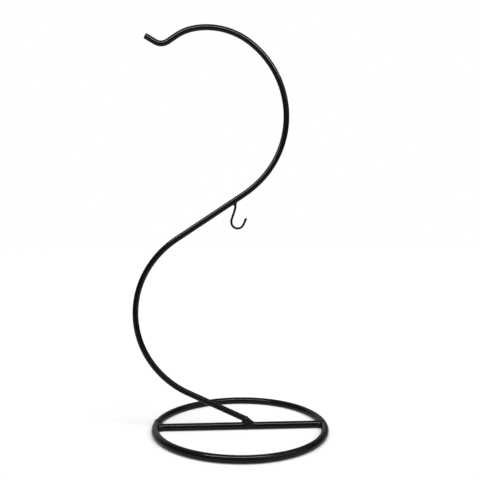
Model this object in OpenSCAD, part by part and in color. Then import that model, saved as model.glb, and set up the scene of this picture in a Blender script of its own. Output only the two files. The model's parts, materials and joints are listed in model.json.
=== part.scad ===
// Tabletop plant hanger: a ring base with a crossbar, an S-shaped stem and a small wire hook.
// The origin is the ring's middle on the tabletop. The crossbar lies along X, and the stem
// stands in the XZ plane above it. All sizes are in millimetres and all angles in degrees.

/* [Base] */
// Outside diameter of the base ring
ring_od = 125; // [100:1:170]
// Diameter of the bar that the ring and the crossbar are made of
base_bar_d = 5.2; // [4.4:0.1:7]

/* [Stem] */
// Diameter of the stem's bar
stem_d = 4.2; // [3.2:0.1:5]
// Distance of the stem's cut end from the ring's middle, to the right
foot_offset = 4.1; // [0:0.1:12]
// Slope of the straight foot above the crossbar
foot_slope = 25.5; // [22:0.5:30]
// Length of the straight foot
foot_run = 45.5; // [36:0.5:56]

/* [Lower curve] */
// Radius of the gentle bends that lead into and out of the lower curve
lower_ease_r = 66; // [60:0.5:76]
// Angle of the gentle bend at the bottom of the lower curve
lower_entry_angle = 33.5; // [28:0.5:39]
// Radius of the lower curve
lower_r = 60.5; // [50:0.5:70]
// Angle of the lower curve
lower_angle = 62.5; // [56:0.5:68]
// Angle of the gentle bend at the top of the lower curve
lower_exit_angle = 25; // [20:0.5:30]
// Length of the straight stretch between the two curves
middle_run = 56; // [46:0.5:66]

/* [Upper curve] */
// Radius of the gentle bend that leads into the upper curve
upper_ease_r = 79; // [70:0.5:90]
// Angle of the gentle bend that leads into the upper curve
upper_entry_angle = 11.5; // [6:0.5:17]
// Radius of the upper curve
upper_r = 64.5; // [54:0.5:74]
// Angle of the upper curve
upper_angle = 97.5; // [90:0.5:104]
// Radius of the shoulder, where the upper curve tightens towards the top
shoulder_r = 49.5; // [42:0.5:58]
// Angle of the shoulder
shoulder_angle = 37.5; // [30:0.5:44]
// Radius of the crown, the highest stretch
crown_r = 46.5; // [38:0.5:56]
// Angle of the crown
crown_angle = 14; // [8:0.5:20]
// Radius of the brow, where the stem starts down to the hook
brow_r = 32; // [26:0.5:40]
// Angle of the brow
brow_angle = 20.5; // [15:0.5:26]

/* [Main hook] */
// Length of the straight stretch that runs down into the hook
hook_drop_run = 7.5; // [4:0.5:14]
// Radius of the hook's seat
hook_seat_r = 8; // [6:0.5:12]
// Angle of the hook's seat
hook_seat_angle = 65; // [50:0.5:80]
// Length of the straight tip
hook_tip_run = 8; // [5:0.5:14]

/* [Small hook] */
// Diameter of the small hook's wire
wire_d = 1.7; // [1.2:0.1:2.2]
// Distance along the middle straight stretch, from its lower end, to the small hook
wire_station = 49.5; // [38:0.5:54]
// Angle by which the wire turns down from the stem
wire_turn = 118; // [108:1:128]
// Straight length of wire below the stem
wire_lead = 1; // [0.6:0.1:3]
// Radius of the bend that sets the wire's shank back
wire_back_r = 8.5; // [6:0.5:12]
// Angle of the bend that sets the shank back
wire_back_angle = 24; // [16:1:32]
// Length of the wire's straight shank
wire_shank = 6.5; // [4:0.5:12]
// Radius of the bend that leads into the small hook
wire_ease_r = 6.5; // [5:0.5:10]
// Angle of the bend that leads into the small hook
wire_ease_angle = 25; // [18:1:32]
// Radius of the small hook's seat
wire_seat_r = 4.4; // [3.4:0.1:7]
// Angle of the small hook's seat
wire_seat_angle = 136; // [120:1:150]
// Radius of the bend that stands the small hook's tip up
wire_rise_r = 9; // [6:0.5:14]
// Angle of the bend that stands the tip up
wire_rise_angle = 16; // [8:1:24]
// Length of the small hook's straight tip
wire_tip_run = 3.5; // [2:0.5:8]

/* [Welds] */
// Gap that a weld fills between two bar ends, or between an end and a side
root_gap = 0.1; // [0.1:0.05:0.6]
// Height by which the ring's welds stand out from the bar
ring_bead = 0.6; // [0.4:0.1:1.2]
// Distance of the ring's seam behind the crossbar's left end, around the ring
seam_offset = 9.5; // [7.5:0.5:20]
// Height above the tabletop below which the ring's welds are ground away
ground_height = 0.7; // [0.3:0.1:1.5]
// Height by which the foot's weld stands out from the sides of the bars
foot_bead = 0.4; // [0.2:0.1:0.8]
// Reach of the foot's weld along the crossbar, back under the stem
foot_weld_back = 3.2; // [2:0.1:5]
// Reach of the foot's weld along the crossbar, beyond the stem's cut end
foot_weld_front = 4.8; // [3.5:0.1:8]
// Height by which the small hook's weld stands out from the wire
wire_bead = 0.6; // [0.3:0.1:1]

/* [Hidden] */

// Facets round a bar, round the base ring and the ball-shaped beads, and round a foot lump
$fn = 72;
fine_fn = 180;
lump_fn = 24;

paint = [0.07, 0.07, 0.07];

// Radius of the rounded edge of the foot's weld
toe_r = 0.9;

bar_r = base_bar_d / 2;
stem_r = stem_d / 2;
wire_r = wire_d / 2;
ring_r = ring_od / 2 - bar_r;
ring_inside_r = ring_r - bar_r;
crossbar_half = ring_inside_r - root_gap;

// The seam is a gap in the ring, with its middle at this angle from +X.
seam_angle = 180 - seam_offset / ring_r * 180 / PI;
seam_gap_angle = root_gap / ring_r * 180 / PI;

// A pose on a bent bar is [x, z, heading], and the heading turns up from +X.
// A bar is a list of stretches. A straight one is [length], and a bend is [radius, angle],
// where a positive angle turns to the left.
foot_pose = [foot_offset, base_bar_d + root_gap + stem_r * cos(foot_slope), 180 - foot_slope];
stem_stretches = [
    [foot_run],
    [lower_ease_r, -lower_entry_angle],
    [lower_r, -lower_angle],
    [lower_ease_r, -lower_exit_angle],
    [middle_run],
    [upper_ease_r, upper_entry_angle],
    [upper_r, upper_angle],
    [shoulder_r, shoulder_angle],
    [crown_r, crown_angle],
    [brow_r, brow_angle],
    [hook_drop_run],
    [hook_seat_r, -hook_seat_angle],
    [hook_tip_run]
];
middle_index = 4;

// The wire starts on the stem's axis, part way along the middle straight stretch, and its
// root is where it comes out of the stem's side.
middle_pose = pose_before(foot_pose, stem_stretches, middle_index);
wire_pose = turned(run_end(middle_pose, wire_station), -wire_turn);
wire_inside = stem_r / sin(wire_turn);
wire_root = run_end(wire_pose, wire_inside);
wire_stretches = [
    [wire_inside + wire_lead],
    [wire_back_r, -wire_back_angle],
    [wire_shank],
    [wire_ease_r, wire_ease_angle],
    [wire_seat_r, wire_seat_angle],
    [wire_rise_r, wire_rise_angle],
    [wire_tip_run]
];

// Every second stretch of a bar is drawn thinner by this much all round, and laps into its
// neighbours, so that no two surfaces of one bar lie on each other.
draw_down = 0.01;
lap = 0.05;

function turned(pose, angle) = [pose[0], pose[1], pose[2] + angle];

function run_end(pose, run) =
    [pose[0] + run * cos(pose[2]), pose[1] + run * sin(pose[2]), pose[2]];

function bend_end(pose, radius, angle) =
    [pose[0] + sign(angle) * radius * (sin(pose[2] + angle) - sin(pose[2])),
     pose[1] + sign(angle) * radius * (cos(pose[2]) - cos(pose[2] + angle)),
     pose[2] + angle];

function stretch_end(pose, stretch) =
    len(stretch) == 1 ? run_end(pose, stretch[0]) : bend_end(pose, stretch[0], stretch[1]);

function pose_before(start, stretches, count) =
    count == 0 ? start
    : stretch_end(pose_before(start, stretches, count - 1), stretches[count - 1]);

module straight(pose, length, d, lap = 0) {
    translate([pose[0], 0, pose[1]])
        rotate([0, 90 - pose[2], 0])
            translate([0, 0, -lap])
                cylinder(h = length + 2 * lap, d = d);
}

module bend(pose, radius, angle, d, lap = 0) {
    side = sign(angle);
    lap_angle = lap / radius * 180 / PI;
    translate([pose[0] - side * radius * sin(pose[2]), 0, pose[1] + side * radius * cos(pose[2])])
        rotate([90, 0, 0])
            rotate([0, 0, pose[2] - side * 90 + min(angle, 0) - lap_angle])
                rotate_extrude(angle = abs(angle) + 2 * lap_angle)
                    translate([radius, 0])
                        circle(d = d);
}

module bent_bar(start, stretches, d) {
    for (i = [0 : len(stretches) - 1]) {
        from = pose_before(start, stretches, i);
        stretch = stretches[i];
        thinner = i % 2 == 1;
        stretch_d = thinner ? d - 2 * draw_down : d;
        stretch_lap = thinner ? lap : 0;
        if (len(stretch) == 1) straight(from, stretch[0], stretch_d, stretch_lap);
        else bend(from, stretch[0], stretch[1], stretch_d, stretch_lap);
    }
}

module ring_bar() {
    translate([0, 0, bar_r])
        rotate([0, 0, seam_angle + seam_gap_angle / 2])
            rotate_extrude(angle = 360 - seam_gap_angle, $fn = fine_fn)
                translate([ring_r, 0])
                    circle(d = base_bar_d);
}

module crossbar_bar() {
    translate([-crossbar_half, 0, bar_r])
        rotate([0, 90, 0])
            cylinder(h = 2 * crossbar_half, d = base_bar_d);
}

module stem_bar() {
    bent_bar(foot_pose, stem_stretches, stem_d);
}

module above_ground() {
    translate([-ring_od, -ring_od, ground_height])
        cube([2 * ring_od, 2 * ring_od, ring_od]);
}

// A round bead about a point on a bar's axis, ground off near the tabletop.
module ring_bead_at(x, y) {
    intersection() {
        translate([x, y, bar_r]) sphere(r = bar_r + ring_bead, $fn = fine_fn);
        above_ground();
    }
}

module crossbar_weld(side) {
    difference() {
        ring_bead_at(side * ring_inside_r, 0);
        ring_bar();
        crossbar_bar();
    }
}

// One lump of the foot's weld, at a distance from the stem's cut end along the crossbar.
module foot_lump(along, y, z, r) {
    translate([foot_offset + along, y, z])
        sphere(r = r, $fn = lump_fn);
}

// The foot's weld wraps the stem's cut end and runs down both sides of the crossbar.
module foot_weld_body() {
    flank_y = bar_r + foot_bead - toe_r;
    hull() {
        foot_lump(-foot_bead, 0, foot_pose[1] - foot_bead, stem_r + foot_bead / 2);
        foot_lump(toe_r - foot_weld_back, 0, base_bar_d + foot_bead - toe_r, toe_r);
        foot_lump(foot_weld_front - toe_r, 0, base_bar_d + foot_bead - toe_r, toe_r);
        for (side = [-1, 1]) {
            foot_lump(toe_r - foot_weld_back / 2, side * flank_y, bar_r, toe_r);
            foot_lump(foot_weld_front / 2, side * flank_y, bar_r, toe_r);
        }
    }
}

module base_ring() {
    color(paint) ring_bar();
}

module ring_seam_weld() {
    color(paint) difference() {
        ring_bead_at(ring_r * cos(seam_angle), ring_r * sin(seam_angle));
        ring_bar();
    }
}

module crossbar() {
    color(paint) crossbar_bar();
}

module crossbar_weld_left() {
    color(paint) crossbar_weld(-1);
}

module crossbar_weld_right() {
    color(paint) crossbar_weld(1);
}

module stem() {
    color(paint) stem_bar();
}

module stem_foot_weld() {
    color(paint) difference() {
        foot_weld_body();
        crossbar_bar();
        straight(foot_pose, foot_run, stem_d);
    }
}

module wire_hook() {
    color(paint) difference() {
        bent_bar(wire_pose, wire_stretches, wire_d);
        straight(middle_pose, middle_run, stem_d);
    }
}

module hook_weld() {
    color(paint) difference() {
        translate([wire_root[0], 0, wire_root[1]])
            sphere(r = wire_r + wire_bead, $fn = fine_fn);
        straight(middle_pose, middle_run, stem_d);
        bent_bar(wire_pose, wire_stretches, wire_d);
    }
}

base_ring();
ring_seam_weld();
crossbar();
crossbar_weld_left();
crossbar_weld_right();
stem();
stem_foot_weld();
wire_hook();
hook_weld();
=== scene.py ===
import json
import math

import bpy
import numpy as np
from mathutils import Euler, Matrix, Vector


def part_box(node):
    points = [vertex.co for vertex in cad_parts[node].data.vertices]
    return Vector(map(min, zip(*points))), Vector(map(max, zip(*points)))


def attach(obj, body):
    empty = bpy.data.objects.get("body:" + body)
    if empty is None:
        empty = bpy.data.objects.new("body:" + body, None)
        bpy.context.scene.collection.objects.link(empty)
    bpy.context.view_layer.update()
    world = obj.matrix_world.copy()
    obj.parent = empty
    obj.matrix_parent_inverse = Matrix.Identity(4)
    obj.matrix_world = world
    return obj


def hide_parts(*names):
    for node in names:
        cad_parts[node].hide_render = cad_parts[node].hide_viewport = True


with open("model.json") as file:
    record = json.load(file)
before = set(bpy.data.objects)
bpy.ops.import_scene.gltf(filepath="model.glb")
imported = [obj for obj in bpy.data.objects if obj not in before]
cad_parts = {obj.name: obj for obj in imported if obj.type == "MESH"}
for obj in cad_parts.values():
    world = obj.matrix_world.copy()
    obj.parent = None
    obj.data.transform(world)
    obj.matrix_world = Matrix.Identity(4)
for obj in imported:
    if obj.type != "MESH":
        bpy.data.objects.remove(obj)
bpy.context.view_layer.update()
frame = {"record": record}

# The looks of a tabletop plant hanger: four painted round bars, the weld beads that join
# them, and a pale studio. Lengths are in millimetres until a mesh is made, and angles in
# degrees. The bars lie as the CAD parts do, with the stem in the XZ plane.
MM = 0.001


def size_mm(node):
    """Width, depth and height of a CAD node."""
    low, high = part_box(node)
    return [(b - a) / MM for a, b in zip(low, high)]


def pin_radius(mount_name):
    """Radius of the bar that a mount of the record measures."""
    found = [m for m in frame["record"]["mounts"] if m["name"] == mount_name]
    return found[0]["dims"]["r_mm"]


BASE_R = size_mm("crossbar")[2] / 2
CROSSBAR_HALF = size_mm("crossbar")[0] / 2
RING_R = size_mm("base_ring")[1] / 2 - BASE_R
RING_INSIDE_R = RING_R - BASE_R
STEM_R = pin_radius("main_hook_tip")
WIRE_R = pin_radius("small_hook_tip")

# The stem's foot: the gap that its weld fills, its place along the crossbar and its slope
ROOT_GAP = 0.1
FOOT_X = 4.1
FOOT_SLOPE = 25.5

# A bar is a list of stretches. A straight one is [length], and a bend is [radius, angle],
# where a positive angle turns to the left.
STEM_STRETCHES = [
    [45.5],
    [66, -33.5],
    [60.5, -62.5],
    [66, -25],
    [56],
    [79, 11.5],
    [64.5, 97.5],
    [49.5, 37.5],
    [46.5, 14],
    [32, 20.5],
    [7.5],
    [8, -65],
    [8],
]
MIDDLE_INDEX = 4

# The small hook: its place along the middle straight stretch, the angle by which its wire
# turns down, and its stretches from the stem's side on
WIRE_STATION = 49.5
WIRE_TURN = 118
WIRE_LEAD = 1
WIRE_STRETCHES_BELOW = [
    [8.5, -24],
    [6.5],
    [6.5, 25],
    [4.4, 136],
    [9, 16],
    [3.5],
]

# The ring's seam, measured behind the crossbar's left end, and how far the ring is out of round
SEAM_OFFSET = 9.5
OUT_OF_ROUND = 0.33
FLATTER_SIDES = 3

# How finely a bar is drawn: points round it, and the longest step and widest turn along it
SIDES = 56
LONGEST_STEP = 0.7
WIDEST_TURN = 3.0

# The painted skin lies inside the full radius by up to SKIN_DEPTH. Its bumps are given as
# (length, share of the depth).
SKIN_DEPTH = 0.06
BROAD_BUMPS = (7.0, 0.2)
FINE_BUMPS = (2.2, 0.08)

# Unevenness is a sum of waves, whose lengths spread about the one that is asked for.
WAVES = 14
WAVE_SPREAD = (0.7, 1.5)

# A cut end: the radius that the paint gives its edge on a bar and on the wire, steps round
# that edge, rings on the face as shares of its rim, how far the face is hollow, and how much
# of the bar is left out for all this, as a multiple of the edge's radius
EDGE_R = 0.35
WIRE_EDGE_R = 0.25
EDGE_STEPS = 5
FACE_RINGS = (0.8, 0.6, 0.4, 0.2, 0.0)
FACE_HOLLOW = 0.06
EDGE_ROOM = 1.2

# How much a bar is flattened where it is bent, and over how many samples that fades
FLATTENING = 0.1
FLATTENING_FADE = 6


# ---------------------------------------------------------------- bent bars

def walk(pose, stretch, share=1.0):
    """The pose [x, z, heading] that part of a stretch leads to."""
    x, z, heading = pose
    a = math.radians(heading)
    if len(stretch) == 1:
        run = stretch[0] * share
        return [x + run * math.cos(a), z + run * math.sin(a), heading]
    radius, angle = stretch
    side = math.copysign(1, angle)
    end = heading + angle * share
    b = math.radians(end)
    return [
        x + side * radius * (math.sin(b) - math.sin(a)),
        z + side * radius * (math.cos(a) - math.cos(b)),
        end,
    ]


def pose_before(start, stretches, count):
    """The pose that the first stretches lead to."""
    pose = start
    for stretch in stretches[:count]:
        pose = walk(pose, stretch)
    return pose


def steps_along(stretch):
    """How many samples a stretch is cut into."""
    if len(stretch) == 1:
        return max(1, math.ceil(stretch[0] / LONGEST_STEP))
    radius, angle = stretch
    arc = radius * math.radians(abs(angle))
    return math.ceil(max(arc / LONGEST_STEP, abs(angle) / WIDEST_TURN))


def bent_line(start, stretches):
    """Poses along a bent bar, and its curvature at each of them."""
    poses = [start]
    curvature = [0.0]
    pose = start
    for stretch in stretches:
        count = steps_along(stretch)
        bend = 0.0 if len(stretch) == 1 else math.copysign(1 / stretch[0], stretch[1])
        for k in range(1, count + 1):
            poses.append(walk(pose, stretch, k / count))
            curvature.append(bend)
        pose = walk(pose, stretch)
    return np.array(poses), np.array(curvature)


def unevenness(points, wavelength, seed):
    """Smooth bumps from -1 to 1 about, which depend on the place alone."""
    rng = np.random.RandomState(seed)
    direction = rng.normal(size=(WAVES, 3))
    direction /= np.linalg.norm(direction, axis=1)[:, None]
    pitch = wavelength * rng.uniform(*WAVE_SPREAD, WAVES)
    phase = rng.uniform(0, 2 * math.pi, WAVES)
    angle = points @ direction.T * (2 * math.pi / pitch) + phase
    return np.sin(angle).sum(1) / math.sqrt(WAVES * 2)


def drawn_in(points, seed):
    """How far the painted skin lies inside the bar's full radius."""
    broad = BROAD_BUMPS[1] * unevenness(points, BROAD_BUMPS[0], seed)
    fine = FINE_BUMPS[1] * unevenness(points, FINE_BUMPS[0], seed + 1)
    return SKIN_DEPTH * np.clip(0.5 + broad + fine, 0, 1)


def make_mesh(name, vertices, faces, thin_paint=None):
    """A smooth object from points in millimetres. thin_paint is 1 where the paint is thin."""
    mesh = bpy.data.meshes.new(name)
    mesh.from_pydata((np.asarray(vertices) * MM).tolist(), [], faces)
    mesh.validate()
    mesh.polygons.foreach_set("use_smooth", [True] * len(mesh.polygons))
    layer = mesh.attributes.new("thin_paint", "FLOAT", "POINT")
    if thin_paint is not None:
        layer.data.foreach_set("value", np.asarray(thin_paint, np.float32))
    mesh.update()
    piece = bpy.data.objects.new(name, mesh)
    bpy.context.scene.collection.objects.link(piece)
    return piece


def end_profile(radius, edge):
    """Rings of a cut and painted end, from the bar's side over its rounded edge to the
    middle of its face, as (distance in from the end, share of the radius, thin paint)."""
    rings = []
    for k in range(EDGE_STEPS + 1):
        turn = math.pi / 2 * k / EDGE_STEPS
        inward = edge * (1 - math.sin(turn))
        share = 1 - edge * (1 - math.cos(turn)) / radius
        rings.append((inward, share, math.sin(2 * turn)))
    rim = 1 - edge / radius
    for share in FACE_RINGS:
        rings.append((FACE_HOLLOW * share * share, rim * share, 0.0))
    return rings


def bar(name, centre, tangent, normal, side, radius, seed, flatness=None, edge=EDGE_R):
    """A round bar swept along a line, with cut ends whose edges the paint has rounded."""
    along = np.r_[0, np.cumsum(np.linalg.norm(np.diff(centre, axis=0), axis=1))]
    room = edge * EDGE_ROOM
    keep = (along > room) & (along < along[-1] - room)
    profile = end_profile(radius, edge)

    # One row of points for each ring of an end and for each sample between the ends
    rows = []
    for inward, share, thin in reversed(profile):
        rows.append((centre[0] + tangent[0] * inward, 0, share, thin))
    for i in np.flatnonzero(keep):
        rows.append((centre[i], i, 1.0, 0.0))
    for inward, share, thin in profile:
        rows.append((centre[-1] - tangent[-1] * inward, len(centre) - 1, share, thin))
    place = np.array([r[0] for r in rows])
    index = np.array([r[1] for r in rows])
    share = np.array([r[2] for r in rows])
    thin = np.array([r[3] for r in rows])

    # The bar's outline in each row, and its painted skin
    flat = np.zeros(len(centre)) if flatness is None else flatness
    angle = np.arange(SIDES) * 2 * math.pi / SIDES
    out_n = np.cos(angle)[None, :, None] * normal[index][:, None, :]
    out_s = np.sin(angle)[None, :, None] * side[index][:, None, :]
    in_plane = (radius * (1 - flat[index]))[:, None, None]
    across = (radius * (1 + flat[index] / 2))[:, None, None]
    reach = (out_n * in_plane + out_s * across) * share[:, None, None]
    points = (place[:, None, :] + reach).reshape(-1, 3)
    outward = (out_n + out_s).reshape(-1, 3)
    inward = drawn_in(points, seed) * np.repeat(share, SIDES) ** 2
    points = points - outward * inward[:, None]

    faces = []
    for row in range(len(rows) - 1):
        for k in range(SIDES):
            a = row * SIDES + k
            b = row * SIDES + (k + 1) % SIDES
            faces.append((a, b, b + SIDES, a + SIDES))
    return close_poles(name, points, faces, np.repeat(thin, SIDES))


def close_poles(name, points, faces, thin):
    """Makes the bar's mesh, with the first and the last ring drawn together to one point."""
    first = set(range(SIDES))
    last = set(range(len(points) - SIDES, len(points)))
    top = len(points) - SIDES
    made = []
    for face in faces:
        merged = []
        for v in face:
            v = 0 if v in first else top if v in last else v
            if v not in merged:
                merged.append(v)
        if len(merged) > 2:
            made.append(tuple(merged))
    used = sorted({v for face in made for v in face})
    new_index = {v: i for i, v in enumerate(used)}
    made = [tuple(new_index[v] for v in reversed(face)) for face in made]
    return make_mesh(name, points[used], made, thin[used])


def planar_frame(poses):
    """Centre, tangent, normal and side vectors of a bar that lies in the XZ plane."""
    a = np.radians(poses[:, 2])
    zero = np.zeros(len(a))
    centre = np.c_[poses[:, 0], zero, poses[:, 1]]
    tangent = np.c_[np.cos(a), zero, np.sin(a)]
    normal = np.c_[-np.sin(a), zero, np.cos(a)]
    side = np.c_[zero, zero + 1, zero]
    return centre, tangent, normal, side


def softened(values, spread):
    """Values smoothed over their neighbours."""
    window = np.hanning(2 * spread + 1)
    padded = np.r_[[values[0]] * spread, values, [values[-1]] * spread]
    return np.convolve(padded, window / window.sum(), mode="valid")


def bent_bar(name, start, stretches, radius, seed, edge):
    """A bent bar, a little flatter where it is bent tightly."""
    poses, curvature = bent_line(start, stretches)
    flatness = FLATTENING * softened(abs(curvature), FLATTENING_FADE) * radius
    centre, tangent, normal, side = planar_frame(poses)
    return bar(name, centre, tangent, normal, side, radius, seed, flatness, edge)


# ---------------------------------------------------------------- the four bars

FOOT_POSE = [
    FOOT_X,
    2 * BASE_R + ROOT_GAP + STEM_R * math.cos(math.radians(FOOT_SLOPE)),
    180 - FOOT_SLOPE,
]
MIDDLE_POSE = pose_before(FOOT_POSE, STEM_STRETCHES, MIDDLE_INDEX)
ON_STEM = walk(MIDDLE_POSE, [WIRE_STATION])
WIRE_POSE = [ON_STEM[0], ON_STEM[1], ON_STEM[2] - WIRE_TURN]
WIRE_INSIDE = STEM_R / math.sin(math.radians(WIRE_TURN))
WIRE_ROOT = walk(WIRE_POSE, [WIRE_INSIDE])
SEAM_ANGLE = math.pi - SEAM_OFFSET / RING_R


def make_stem():
    piece = bent_bar("painted_stem", FOOT_POSE, STEM_STRETCHES, STEM_R, seed=11, edge=EDGE_R)
    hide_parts("stem")
    return piece


def make_wire_hook():
    stretches = [[WIRE_INSIDE + WIRE_LEAD]] + WIRE_STRETCHES_BELOW
    piece = bent_bar(
        "painted_wire_hook", WIRE_POSE, stretches, WIRE_R, seed=23, edge=WIRE_EDGE_R
    )
    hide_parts("wire_hook")
    return piece


def make_crossbar():
    count = math.ceil(2 * CROSSBAR_HALF / LONGEST_STEP)
    x = np.linspace(-CROSSBAR_HALF, CROSSBAR_HALF, count + 1)
    zero = np.zeros(len(x))
    centre = np.c_[x, zero, zero + BASE_R]
    tangent = np.c_[zero + 1, zero, zero]
    normal = np.c_[zero, zero, zero + 1]
    side = np.c_[zero, zero + 1, zero]
    piece = bar("painted_crossbar", centre, tangent, normal, side, BASE_R, seed=31)
    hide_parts("crossbar")
    return piece


def ring_radius(turn):
    """The ring is a little out of round, with three flatter sides. turn is in radians."""
    return RING_R - OUT_OF_ROUND * np.cos(FLATTER_SIDES * turn)


def make_ring():
    """The ring is one closed bar here: its seam's weld covers the two ends."""
    count = math.ceil(2 * math.pi * RING_R / LONGEST_STEP)
    turn = np.arange(count) * 2 * math.pi / count
    angle = np.arange(SIDES) * 2 * math.pi / SIDES
    outward = np.stack([np.cos(turn), np.sin(turn), 0 * turn], 1)
    up = np.array([0.0, 0.0, 1.0])
    rim = np.cos(angle)[None, :, None] * outward[:, None, :]
    rise = np.sin(angle)[None, :, None] * up
    middle = outward[:, None, :] * ring_radius(turn)[:, None, None] + up * BASE_R
    points = (middle + (rim + rise) * BASE_R).reshape(-1, 3)
    direction = (rim + rise).reshape(-1, 3)
    points = points - direction * drawn_in(points, seed=41)[:, None]
    faces = []
    for row in range(count):
        for k in range(SIDES):
            a = row * SIDES + k
            b = row * SIDES + (k + 1) % SIDES
            c = (row + 1) % count * SIDES
            faces.append((a, c + k, c + (k + 1) % SIDES, b))
    piece = make_mesh("painted_ring", points, faces)
    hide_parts("base_ring")
    return piece


# ---------------------------------------------------------------- weld beads

# Each bead: the distances from its middle to its toe, its height over the bars, the width of
# its fillet between them, and the height of its ripples and lumps. The ripples are counted
# as steps round the bar or have a step length, and they waver over another length.
CROSSBAR_BEAD = {
    "inset": 0.4,
    "radii": [3.4, 4.0, 4.0],
    "height": 0.50,
    "fillet": 1.9,
    "steps_round": 7,
    "ripple": 0.14,
    "waver_length": 5.0,
    "lumps": 0.11,
    "lump_length": 2.3,
}
SEAM_BEAD = {
    "radii": [4.6, 2.9, 4.6],
    "height": 0.58,
    "steps_round": 6,
    "ripple": 0.12,
    "waver_length": 4.0,
    "lumps": 0.12,
    "lump_length": 2.1,
}
FOOT_BEAD = {
    "radii": [4.6, 3.9, 3.7],
    "height": 0.46,
    "fillet": 1.6,
    "step_length": 1.3,
    "ripple": 0.13,
    "waver_length": 4.0,
    "lumps": 0.13,
    "lump_length": 2.4,
}
HOOK_BEAD = {
    "radii": [1.9, 1.6, 1.9],
    "height": 0.2,
    "fillet": 1.1,
    "lumps": 0.03,
    "lump_length": 1.2,
}

# The metal that fills the stem's cut end to the crossbar: its radius at the stem and at its
# toe, and the width of its fillet with the bars
FILL_R = (2.0, 1.1)
FILL_FILLET = 1.2

# Length of wire, taken as straight, that the small hook's bead is blended with
WIRE_STUB = 12

# How far the ripples waver, in radians of their wave
WAVER = 0.5

# How far a bead's edge runs on inside the bars, as a multiple of the distance to its toe
BURIED = 1.5

# Height over the tabletop at which the ring's beads are ground off
GROUND = 0.02

# A bead's skin is looked for along each ray in even steps, and then by halving.
STEPS_OUT = 48
HALVINGS = 18


def ring_distance(p):
    """Distance from the ring's surface, negative inside it."""
    radius = ring_radius(np.arctan2(p[:, 1], p[:, 0]))
    from_axis = np.hypot(np.hypot(p[:, 0], p[:, 1]) - radius, p[:, 2] - BASE_R)
    return from_axis - BASE_R


def rod_distance(p, start, heading, length, radius):
    """Distance from a round rod with flat ends that starts at [x, z] in the XZ plane."""
    a = math.radians(heading)
    u = (p[:, 0] - start[0]) * math.cos(a) + (p[:, 2] - start[1]) * math.sin(a)
    v = -(p[:, 0] - start[0]) * math.sin(a) + (p[:, 2] - start[1]) * math.cos(a)
    beyond = np.maximum(-u, u - length)
    outside = np.hypot(v, p[:, 1]) - radius
    inner = np.minimum(np.maximum(beyond, outside), 0)
    return inner + np.hypot(np.maximum(beyond, 0), np.maximum(outside, 0))


def crossbar_distance(p):
    return rod_distance(p, [-CROSSBAR_HALF, BASE_R], 0, 2 * CROSSBAR_HALF, BASE_R)


def stem_distance(p, pose, stretch):
    """Distance from a straight stretch of the stem that starts at a pose."""
    return rod_distance(p, pose[:2], pose[2], stretch[0], STEM_R)


def tapered_distance(p, start, end, start_r, end_r):
    """Distance from a round rod with ball ends and a changing radius, in the XZ plane."""
    a = np.array([start[0], 0.0, start[1]])
    b = np.array([end[0], 0.0, end[1]])
    share = np.clip((p - a) @ (b - a) / ((b - a) @ (b - a)), 0, 1)
    nearest = a + share[:, None] * (b - a)
    return np.linalg.norm(p - nearest, axis=1) - (start_r + (end_r - start_r) * share)


def blended(a, b, width):
    """The smaller of two distances, with a fillet of about that width where they meet."""
    h = np.clip(0.5 + 0.5 * (b - a) / width, 0, 1)
    return b * (1 - h) + a * h - width * h * (1 - h)


def scallops(wave):
    """The rounded steps of a weld bead, one for each half turn of wave, about 0."""
    return abs(np.sin(wave)) - 2 / math.pi


def rippled_height(p, wave, look, seed):
    """Height of a bead whose steps follow wave, in radians, and waver, and which is lumpy."""
    waver = WAVER * unevenness(p, look["waver_length"], seed)
    ripple = look["ripple"] * scallops(wave + waver)
    lumps = look["lumps"] * unevenness(p, look["lump_length"], seed + 1)
    return look["height"] + ripple + lumps


def bead_field(p, bars, height, local, radii):
    """Negative inside a bead that covers the bars to a height. The bead is full at its
    middle and sinks into the bars past its toe. It ends at a buried rim, and above the
    tabletop. local is p as seen from the bead's middle, and bars is the bars' distance."""
    away = np.sqrt(((local / np.asarray(radii)) ** 2).sum(1))
    skin = bars - height * (1 - away ** 2)
    rim = (away - BURIED) * min(radii)
    return np.maximum(np.maximum(skin, rim), GROUND - p[:, 2])


def cube_sphere(n):
    """Unit directions and quads of a ball made from a cube with n by n squares a side."""
    line = np.tan(np.linspace(-1, 1, n + 1) * math.pi / 4)
    u, v = np.meshgrid(line, line, indexing="ij")
    one = np.ones_like(u)
    sides = []
    for axis in range(3):
        for sign in (-1, 1):
            place = [u, v * sign, one * sign]
            sides.append(np.stack(place[3 - axis:] + place[:3 - axis], -1).reshape(-1, 3))
    every = np.concatenate(sides)
    every /= np.linalg.norm(every, axis=1)[:, None]
    _, first, index = np.unique(
        np.round(every, 6), axis=0, return_index=True, return_inverse=True
    )
    index = index.ravel()
    quads = []
    for s in range(6):
        for i in range(n):
            for j in range(n):
                a = s * (n + 1) ** 2 + i * (n + 1) + j
                corners = (a, a + n + 1, a + n + 2, a + 1)
                quads.append(tuple(int(index[c]) for c in corners))
    return every[first], quads


def bead(name, centre, field, reach, squares=44):
    """A closed blob about a centre, whose skin lies where field is 0. It is looked for up to
    reach from the centre, along rays through a ball's grid of squares."""
    directions, quads = cube_sphere(squares)
    centre = np.asarray(centre, float)
    near = np.zeros(len(directions))
    far = np.full(len(directions), float(reach))
    found = np.zeros(len(directions), bool)
    for t in np.linspace(0, reach, STEPS_OUT + 1)[1:]:
        outside = field(centre + directions * t) > 0
        far[outside & ~found] = t
        near[~found & ~outside] = t
        found |= outside
    for _ in range(HALVINGS):
        middle = (near + far) / 2
        outside = field(centre + directions * middle[:, None]) > 0
        far = np.where(outside, middle, far)
        near = np.where(outside, near, middle)
    points = centre + directions * ((near + far) / 2)[:, None]
    return make_mesh(name, points, quads)


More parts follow.
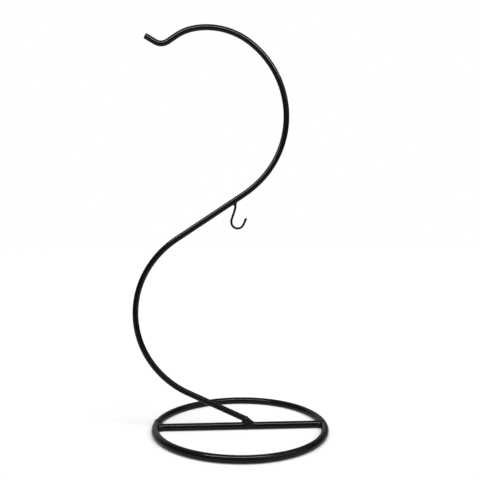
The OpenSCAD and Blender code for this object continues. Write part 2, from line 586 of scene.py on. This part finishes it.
def make_crossbar_weld(name, node, side, seed):
    """A fillet bead round the crossbar's end, where it meets the ring."""
    look = CROSSBAR_BEAD
    centre = [side * (RING_INSIDE_R - look["inset"]), 0, BASE_R]

    def field(p):
        bars = blended(ring_distance(p), crossbar_distance(p), look["fillet"])
        around = np.arctan2(p[:, 1], p[:, 2] - BASE_R)
        height = rippled_height(p, around * look["steps_round"], look, seed)
        return bead_field(p, bars, height, p - centre, look["radii"])

    piece = bead(name, centre, field, reach=9.0)
    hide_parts(node)
    return piece


def make_seam_weld():
    """The bead that closes the ring, a collar that stands a little proud of the bar."""
    look = SEAM_BEAD
    outward = np.array([math.cos(SEAM_ANGLE), math.sin(SEAM_ANGLE), 0.0])
    forward = np.array([-outward[1], outward[0], 0.0])
    centre = outward * ring_radius(SEAM_ANGLE) + [0, 0, BASE_R]

    def field(p):
        q = p - centre
        local = np.c_[q @ outward, q @ forward, q[:, 2]]
        around = np.arctan2(local[:, 0], local[:, 2])
        height = rippled_height(p, around * look["steps_round"], look, seed=70)
        return bead_field(p, ring_distance(p), height, local, look["radii"])

    piece = bead("seam_bead", centre, field, reach=9.0)
    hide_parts("ring_seam_weld")
    return piece


def make_foot_weld():
    """The bead that fills the stem's cut end to the crossbar and runs down its sides."""
    look = FOOT_BEAD
    top = 2 * BASE_R
    middle = [FOOT_X + 0.9, 0, top + 0.4]
    rays_from = [FOOT_X + 0.6, 0, top + 0.8]
    fill_start = [FOOT_X, FOOT_POSE[1] - 0.4]
    fill_toe = [FOOT_X + 4.3, top - 0.7]

    def field(p):
        stem = stem_distance(p, FOOT_POSE, STEM_STRETCHES[0])
        bars = blended(stem, crossbar_distance(p), look["fillet"])
        fill = tapered_distance(p, fill_start, fill_toe, *FILL_R)
        filled = blended(bars, fill, FILL_FILLET)
        along = np.hypot(p[:, 0] - FOOT_X, p[:, 2] - top)
        height = rippled_height(p, along * math.pi / look["step_length"], look, seed=81)
        return bead_field(p, filled, height, p - middle, look["radii"])

    piece = bead("foot_bead", rays_from, field, reach=12.0)
    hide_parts("stem_foot_weld")
    return piece


def make_hook_weld():
    """The small bead between the wire's end and the stem's underside."""
    look = HOOK_BEAD
    root = [WIRE_ROOT[0], 0, WIRE_ROOT[1]]

    def field(p):
        stem = stem_distance(p, MIDDLE_POSE, STEM_STRETCHES[MIDDLE_INDEX])
        wire = rod_distance(p, WIRE_POSE[:2], WIRE_POSE[2], WIRE_STUB, WIRE_R)
        bars = blended(stem, wire, look["fillet"])
        height = look["height"] + look["lumps"] * unevenness(p, look["lump_length"], seed=91)
        return bead_field(p, bars, height, p - root, look["radii"])

    piece = bead("hook_bead", root, field, reach=6.0, squares=28)
    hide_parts("hook_weld")
    return piece


# ---------------------------------------------------------------- nodes

def add_node(tree, kind, settings=None, **inputs):
    """Adds a node, and sets or links the inputs named, with _ for a space."""
    node = tree.nodes.new(kind)
    for key, value in (settings or {}).items():
        setattr(node, key, value)
    for key, value in inputs.items():
        feed(tree, node.inputs[key.replace("_", " ")], value)
    return node


def feed(tree, socket, value):
    """Links another node's output to a socket, or sets the socket to a plain value."""
    if isinstance(value, bpy.types.NodeSocket):
        tree.links.new(value, socket)
    else:
        socket.default_value = value


def maths(tree, operation, first, *others):
    """The values joined by an operation, from the left."""
    for other in others:
        node = add_node(tree, "ShaderNodeMath", {"operation": operation})
        feed(tree, node.inputs[0], first)
        feed(tree, node.inputs[1], other)
        first = node.outputs[0]
    return first


def vector_maths(tree, operation, first, second=None):
    """A node that joins two vectors, or measures one."""
    node = add_node(tree, "ShaderNodeVectorMath", {"operation": operation})
    feed(tree, node.inputs[0], first)
    if second is not None:
        feed(tree, node.inputs[1], second)
    return node


def map_range(tree, value, from_range, to_range=(0.0, 1.0), kind="SMOOTHSTEP"):
    """A value that goes from one range to another, and stops at its ends."""
    node = add_node(
        tree,
        "ShaderNodeMapRange",
        {"interpolation_type": kind},
        Value=value,
        From_Min=from_range[0],
        From_Max=from_range[1],
        To_Min=to_range[0],
        To_Max=to_range[1],
    )
    return node.outputs["Result"]


def noise(tree, place, scale, detail, roughness):
    node = add_node(
        tree,
        "ShaderNodeTexNoise",
        Vector=place,
        Scale=scale,
        Detail=detail,
        Roughness=roughness,
    )
    return node.outputs["Fac"]


def mixed_colour(tree, share, first, second):
    """The first colour where share is 0, and the second where it is 1."""
    node = add_node(tree, "ShaderNodeMix", {"data_type": "RGBA"})
    for index, value in ((0, share), (6, first), (7, second)):
        feed(tree, node.inputs[index], value)
    return node.outputs[2]


def mixed_shader(tree, share, first, second):
    """The first shader where share is 0, and the second where it is 1."""
    node = add_node(tree, "ShaderNodeMixShader")
    for index, value in enumerate((share, first, second)):
        feed(tree, node.inputs[index], value)
    return node.outputs[0]


def new_material(name):
    material = bpy.data.materials.new(name)
    material.use_nodes = True
    material.node_tree.nodes.clear()
    return material


# ---------------------------------------------------------------- paint

BLACK = (0.0033, 0.0033, 0.0035)
PAINT_IOR = 1.4

# Noises of the paint, as (scale, detail, roughness): patches of unlike gloss and tone about
# 6 mm across, dust specks, orange peel, and the lumps of the metal below
PATCHES = (160.0, 3.0, 0.55)
SPECKS = (3600.0, 1.0, 0.5)
PEEL = (820.0, 2.0, 0.45)
LUMPS = (330.0, 2.0, 0.5)

# The patches' darkest and lightest tone, as multiples of the paint's colour, and the values
# of their noise between which the gloss changes
MOTTLE = (0.85, 1.2)
GLOSS_NOISE = (0.35, 0.65)

# Dust lies on surfaces that face up. Paint is thin on cut edges, where some metal shows.
DUST = (0.042, 0.041, 0.039, 1)
DUST_NOISE = (0.66, 0.74)
DUSTY_SLOPE = (0.4, 1.0)
WORN = (0.075, 0.074, 0.072, 1)
THIN_ENOUGH = (0.5, 1.0)
MOST_WORN = 0.35


def paint_colour(tree, place, patches, colour):
    """Mottled paint with dust above and worn edges."""
    dark, light = [(*[c * share for c in colour], 1) for share in MOTTLE]
    mottled = mixed_colour(tree, patches, dark, light)

    specks = map_range(tree, noise(tree, place, *SPECKS), DUST_NOISE, kind="LINEAR")
    facing = add_node(tree, "ShaderNodeNewGeometry").outputs["Normal"]
    upward = add_node(tree, "ShaderNodeSeparateXYZ", Vector=facing).outputs["Z"]
    on_top = map_range(tree, upward, DUSTY_SLOPE, kind="LINEAR")
    dusty = mixed_colour(tree, maths(tree, "MULTIPLY", specks, on_top), mottled, DUST)

    thin = add_node(tree, "ShaderNodeAttribute", {"attribute_name": "thin_paint"})
    worn = map_range(tree, thin.outputs["Fac"], THIN_ENOUGH, (0.0, MOST_WORN), "LINEAR")
    return mixed_colour(tree, worn, dusty, WORN)


def paint_relief(tree, place, peel, lumpiness):
    """Orange peel over lumps, by their depths in millimetres."""
    lumps = add_node(
        tree,
        "ShaderNodeBump",
        Height=noise(tree, place, *LUMPS),
        Distance=lumpiness * MM,
        Strength=1.0,
    )
    skin = add_node(
        tree,
        "ShaderNodeBump",
        Height=noise(tree, place, *PEEL),
        Distance=peel * MM,
        Strength=1.0,
        Normal=lumps.outputs["Normal"],
    )
    return skin.outputs["Normal"]


def paint_material(name, roughness, peel, lumpiness):
    """Satin black paint: orange peel, patches of unlike gloss, dust above, thin edges.
    peel and lumpiness are depths in millimetres, and roughness is a pair."""
    material = new_material(name)
    tree = material.node_tree
    place = add_node(tree, "ShaderNodeTexCoord").outputs["Object"]
    patches = noise(tree, place, *PATCHES)
    shader = add_node(
        tree,
        "ShaderNodeBsdfPrincipled",
        Base_Color=paint_colour(tree, place, patches, BLACK),
        Roughness=map_range(tree, patches, GLOSS_NOISE, roughness, "LINEAR"),
        Normal=paint_relief(tree, place, peel, lumpiness),
        IOR=PAINT_IOR,
    )
    add_node(tree, "ShaderNodeOutputMaterial", Surface=shader.outputs["BSDF"])
    return material


# ---------------------------------------------------------------- studio

# A strip light hangs over the object and a large soft panel stands in front of it, to the
# right. Places, aims and sizes are in millimetres.
LAMP_PLACE = (-45, -135, 350)
LAMP_AIM = (-45, -95, 0)
LAMP_SIZE = (400, 60)
LAMP_WATTS = 0.86
PANEL_PLACE = (260, -640, 560)
PANEL_AIM = (0, 0, 0)
PANEL_SIZE = (900, 500)
PANEL_WATTS = 5.6

# The floor's own colour, the level that it is shown at, and what the strip, the panel and
# the world give it below them
FLOOR_HALF = 3000
FLOOR_WHITE = 0.80
FLOOR_SHOWS = 1.05
LAMP_SHARE = 0.59
PANEL_SHARE = 0.335
SKY_SHARE = 0.157

# A lamp counts as three small ones, the outer two this share of its width from its middle.
LAMP_SPREAD = 0.375

# What the paint's gloss sees of the floor, in front of the table's edge and behind it
TABLE_EDGE = (-420, -150)
DARK_FRONT = 0.04
GLOSS_SHARE = 0.45

# The world's light: a sweep behind, dimmer to the right, an open ceiling, and a window at
# the front right. Each goes from one level to the next over a range of the direction.
WHITE_BACK = 0.42
BACK_DEPTH = (0.35, 0.80)
BACK_RIGHT = 0.36
BACK_SIDEWAYS = (-0.05, 0.25)
OPEN_TOP = 0.15
TOP_HEIGHT = (0.30, 0.85)
SIDE_WINDOW = 0.6
WINDOW_RIGHT = (0.25, 0.50)
WINDOW_HEIGHT = (0.15, 0.40)
WINDOW_DEPTH = (-0.10, 0.20)

WHITE = (1, 1, 1, 1)

# The camera, fitted to the ring's ellipse and the stem's plane in a frame of 480 px
FOCAL_PX = 587.6
FRAME_PX = 480
SENSOR_WIDTH = 36
CAMERA_PLACE = (-23.8, -414.3, 146.6)
CAMERA_TURN_TILT_ROLL = (3.27, 1.59, -0.12)


def lit_share(tree, place, lamp_place, aim, width, share):
    """What a lamp gives the floor at a place. It counts as three small lamps along its
    width, which each give a third of share straight in front of them. Their light falls off
    with the distance squared and both cosines, and so with the distance along the lamp's
    axis over the fourth power of the whole distance."""
    axis = np.array(lamp_place, float) - np.array(aim, float)
    at_aim = 1 / np.linalg.norm(axis) ** 3
    axis /= np.linalg.norm(axis)
    place_mm = add_node(tree, "ShaderNodeVectorMath", {"operation": "SCALE"}, Scale=1 / MM)
    feed(tree, place_mm.inputs[0], place)
    parts = []
    for sideways in (-LAMP_SPREAD * width, 0, LAMP_SPREAD * width):
        lamp = np.array(lamp_place, float) + [sideways, 0, 0]
        to_lamp = vector_maths(tree, "SUBTRACT", tuple(lamp), place_mm.outputs[0]).outputs[0]
        away = vector_maths(tree, "LENGTH", to_lamp).outputs["Value"]
        along = vector_maths(tree, "DOT_PRODUCT", to_lamp, tuple(axis)).outputs["Value"]
        given = maths(tree, "DIVIDE", along, maths(tree, "POWER", away, 4.0))
        parts.append(maths(tree, "MULTIPLY", given, share / 3 / at_aim))
    return maths(tree, "ADD", *parts)


def floor_material():
    """Pale floor. The camera and the object's gloss see it lit by the two lamps near the
    object, where the shadow falls, and by a glow of its own that makes up what the lamps
    lack farther off, so that it stays white to the horizon. What the gloss sees of it is
    dimmer, and nearly ends in front of the object, as a table does."""
    material = new_material("pale_floor")
    tree = material.node_tree
    place = add_node(tree, "ShaderNodeTexCoord").outputs["Object"]
    path = add_node(tree, "ShaderNodeLightPath")
    to_camera = path.outputs["Is Camera Ray"]

    strip = lit_share(tree, place, LAMP_PLACE, LAMP_AIM, LAMP_SIZE[0], LAMP_SHARE)
    panel = lit_share(tree, place, PANEL_PLACE, PANEL_AIM, PANEL_SIZE[0], PANEL_SHARE)
    lamps = maths(tree, "ADD", strip, panel)
    glow = maths(tree, "SUBTRACT", FLOOR_SHOWS - SKY_SHARE, lamps)

    depth = add_node(tree, "ShaderNodeSeparateXYZ", Vector=place).outputs["Y"]
    edge = [v * MM for v in TABLE_EDGE]
    table = map_range(tree, depth, edge, (DARK_FRONT, GLOSS_SHARE))
    shown = maths(tree, "MAXIMUM", to_camera, table)

    grey = maths(tree, "MULTIPLY", shown, FLOOR_WHITE)
    strength = maths(tree, "MULTIPLY", glow, shown)
    lit = add_node(tree, "ShaderNodeBsdfDiffuse", Color=grey)
    own = add_node(tree, "ShaderNodeEmission", Color=WHITE, Strength=strength)
    seen = add_node(tree, "ShaderNodeAddShader")
    feed(tree, seen.inputs[0], lit.outputs[0])
    feed(tree, seen.inputs[1], own.outputs[0])

    plain = add_node(tree, "ShaderNodeBsdfDiffuse", Color=(FLOOR_WHITE,) * 3 + (1,))
    straight = maths(tree, "MAXIMUM", to_camera, path.outputs["Is Glossy Ray"])
    both = mixed_shader(tree, straight, plain.outputs[0], seen.outputs[0])
    add_node(tree, "ShaderNodeOutputMaterial", Surface=both)
    return material


def make_floor():
    half = FLOOR_HALF
    corners = [(-half, -half, 0), (half, -half, 0), (half, half, 0), (-half, half, 0)]
    floor = make_mesh("floor", corners, [(0, 1, 2, 3)])
    floor.data.materials.append(floor_material())


def make_world():
    """White to the camera. To the object it is a white sweep behind, a dim ceiling round
    the strip light, a dim window at the front right and a dark room in front."""
    world = bpy.data.worlds.new("studio")
    bpy.context.scene.world = world
    world.use_nodes = True
    tree = world.node_tree
    tree.nodes.clear()
    path = add_node(tree, "ShaderNodeLightPath")
    direction = add_node(tree, "ShaderNodeTexCoord").outputs["Generated"]
    axes = add_node(tree, "ShaderNodeSeparateXYZ", Vector=direction).outputs

    sweep = map_range(tree, axes["Y"], BACK_DEPTH, (DARK_FRONT, WHITE_BACK))
    sideways = map_range(tree, axes["X"], BACK_SIDEWAYS, (1.0, BACK_RIGHT))
    back = maths(tree, "MULTIPLY", sweep, sideways)

    ceiling = map_range(tree, axes["Z"], TOP_HEIGHT, (0.0, OPEN_TOP))

    to_right = map_range(tree, axes["X"], WINDOW_RIGHT, (0.0, SIDE_WINDOW))
    raised = map_range(tree, axes["Z"], WINDOW_HEIGHT)
    before = map_range(tree, axes["Y"], WINDOW_DEPTH, (1.0, 0.0))
    window = maths(tree, "MULTIPLY", to_right, raised, before)

    strength = maths(tree, "MAXIMUM", back, ceiling, window)
    soft = add_node(tree, "ShaderNodeBackground", Color=WHITE, Strength=strength)
    white = add_node(tree, "ShaderNodeBackground", Color=WHITE, Strength=1.0)
    both = mixed_shader(tree, path.outputs["Is Camera Ray"], soft.outputs[0], white.outputs[0])
    add_node(tree, "ShaderNodeOutputWorld", Surface=both)


def make_lamp(name, place, aim, width, depth, watts):
    """A softbox at a place, pointed at aim, both in millimetres."""
    light = bpy.data.lights.new(name, "AREA")
    light.shape = "RECTANGLE"
    light.size = width * MM
    light.size_y = depth * MM
    light.energy = watts
    lamp = bpy.data.objects.new(name, light)
    bpy.context.scene.collection.objects.link(lamp)
    lamp.location = [v * MM for v in place]
    toward = np.array(aim, float) - np.array(place, float)
    lamp.rotation_euler = look_angles(toward)
    lamp.visible_camera = False
    return lamp


def make_lamps():
    """The strip's reflection is the highlight on the bars, and the panel has none."""
    make_lamp("overhead_strip", LAMP_PLACE, LAMP_AIM, *LAMP_SIZE, LAMP_WATTS)
    panel = make_lamp("soft_panel", PANEL_PLACE, PANEL_AIM, *PANEL_SIZE, PANEL_WATTS)
    panel.visible_glossy = False


def look_angles(toward):
    """Euler angles of a camera or lamp that looks along a direction, level with the floor."""
    level = math.hypot(toward[0], toward[1])
    pitch = math.atan2(level, -toward[2])
    return pitch, 0.0, math.atan2(-toward[0], toward[1])


def make_camera():
    """The photograph's viewpoint."""
    turn, tilt, roll = np.radians(CAMERA_TURN_TILT_ROLL)
    data = bpy.data.cameras.new("camera")
    data.sensor_width = SENSOR_WIDTH
    data.lens = FOCAL_PX / FRAME_PX * data.sensor_width
    camera = bpy.data.objects.new("camera", data)
    bpy.context.scene.collection.objects.link(camera)
    camera.location = [v * MM for v in CAMERA_PLACE]
    toward = (math.sin(turn), math.cos(turn), -math.tan(tilt))
    level_look = Euler(look_angles(toward)).to_matrix()
    camera.rotation_euler = (level_look @ Matrix.Rotation(roll, 3, "Z")).to_euler()
    bpy.context.scene.camera = camera


# ---------------------------------------------------------------- putting it together

make_camera()
make_floor()
make_world()
make_lamps()
bpy.context.scene.view_settings.view_transform = "Standard"

bar_paint = paint_material("bar_paint", (0.13, 0.19), peel=0.008, lumpiness=0.016)
wire_paint = paint_material("wire_paint", (0.22, 0.30), peel=0.006, lumpiness=0.010)
weld_paint = paint_material("weld_paint", (0.26, 0.40), peel=0.014, lumpiness=0.060)

LOOKS = [
    (make_ring(), "bar_paint", bar_paint),
    (make_crossbar(), "bar_paint", bar_paint),
    (make_stem(), "bar_paint", bar_paint),
    (make_wire_hook(), "wire_paint", wire_paint),
    (make_seam_weld(), "weld_paint", weld_paint),
    (make_crossbar_weld("left_bead", "crossbar_weld_left", -1, 51), "weld_paint", weld_paint),
    (make_crossbar_weld("right_bead", "crossbar_weld_right", 1, 61), "weld_paint", weld_paint),
    (make_foot_weld(), "weld_paint", weld_paint),
    (make_hook_weld(), "weld_paint", weld_paint),
]
for piece, slot_name, material in LOOKS:
    piece.data.materials.append(material)
    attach(piece, "root")
